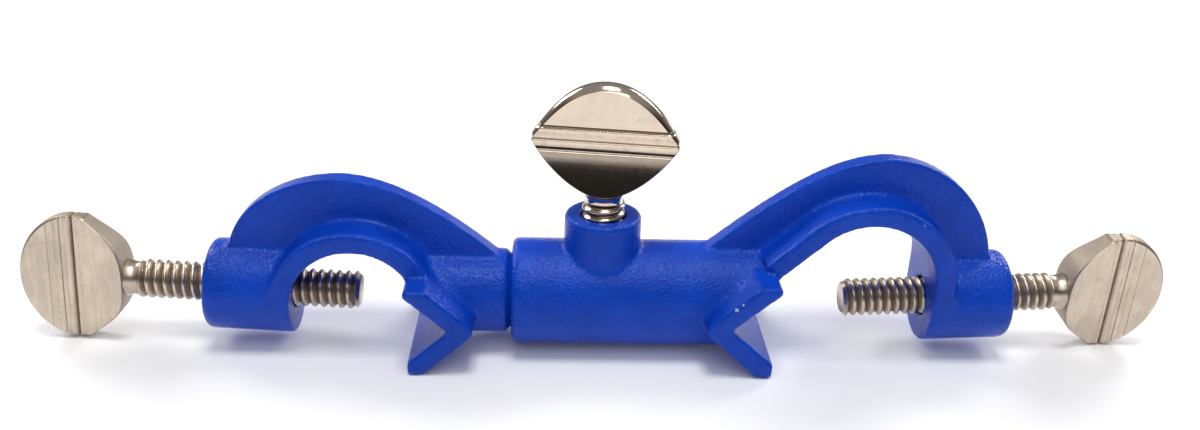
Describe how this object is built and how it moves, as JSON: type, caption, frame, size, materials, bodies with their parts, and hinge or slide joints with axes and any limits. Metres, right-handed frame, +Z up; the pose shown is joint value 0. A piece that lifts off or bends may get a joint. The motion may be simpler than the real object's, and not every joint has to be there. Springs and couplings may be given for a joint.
{
  "type": "boss head clamp",
  "caption": "Swivel boss head clamp: two arched cast heads with vee jaws, each clamping a rod with a thumb screw, turn on a shared axis that a third screw locks.",
  "frame": {"origin": "below the lock screw, on the surface that the jaws' feet stand on", "axes": "+X along the swivel axis towards the sleeve head's rod screw, +Z up along the lock screw, -Y the side that the upper jaw lips are seen from"},
  "size_m": [0.1882, 0.025, 0.0452],
  "materials": {
    "left_paint": "satin royal blue paint on a casting",
    "right_paint": "satin royal blue paint on a casting",
    "left_nickel": "brushed nickel plate",
    "right_nickel": "brushed nickel plate",
    "lock_nickel": "polished nickel plate"
  },
  "bodies": {
    "sleeve_head": {"sleeve_head": "right_paint"},
    "spigot_head": {"spigot_head": "left_paint"},
    "left_rod_screw": {"left_rod_screw": "left_nickel"},
    "right_rod_screw": {"right_rod_screw": "right_nickel"},
    "lock_screw": {"swivel_lock_screw": "lock_nickel"}
  },
  "joints": [
    {"name": "swivel", "type": "hinge", "parent": "sleeve_head", "child": "spigot_head", "pos_m": [0, 0, 0.0091], "axis": [1, 0, 0], "continuous": true},
    {"name": "left_rod_screw_feed", "type": "slide", "parent": "spigot_head", "child": "left_rod_screw", "axis": [-0.9988, 0, 0.0489], "range_m": [-0.011, 0.012]},
    {"name": "right_rod_screw_feed", "type": "slide", "parent": "sleeve_head", "child": "right_rod_screw", "axis": [0.9988, 0, 0.0489], "range_m": [-0.0095, 0.015]},
    {"name": "lock_screw_feed", "type": "slide", "parent": "sleeve_head", "child": "lock_screw", "axis": [0, 0, 1], "range_m": [0, 0.004]}
  ]
}
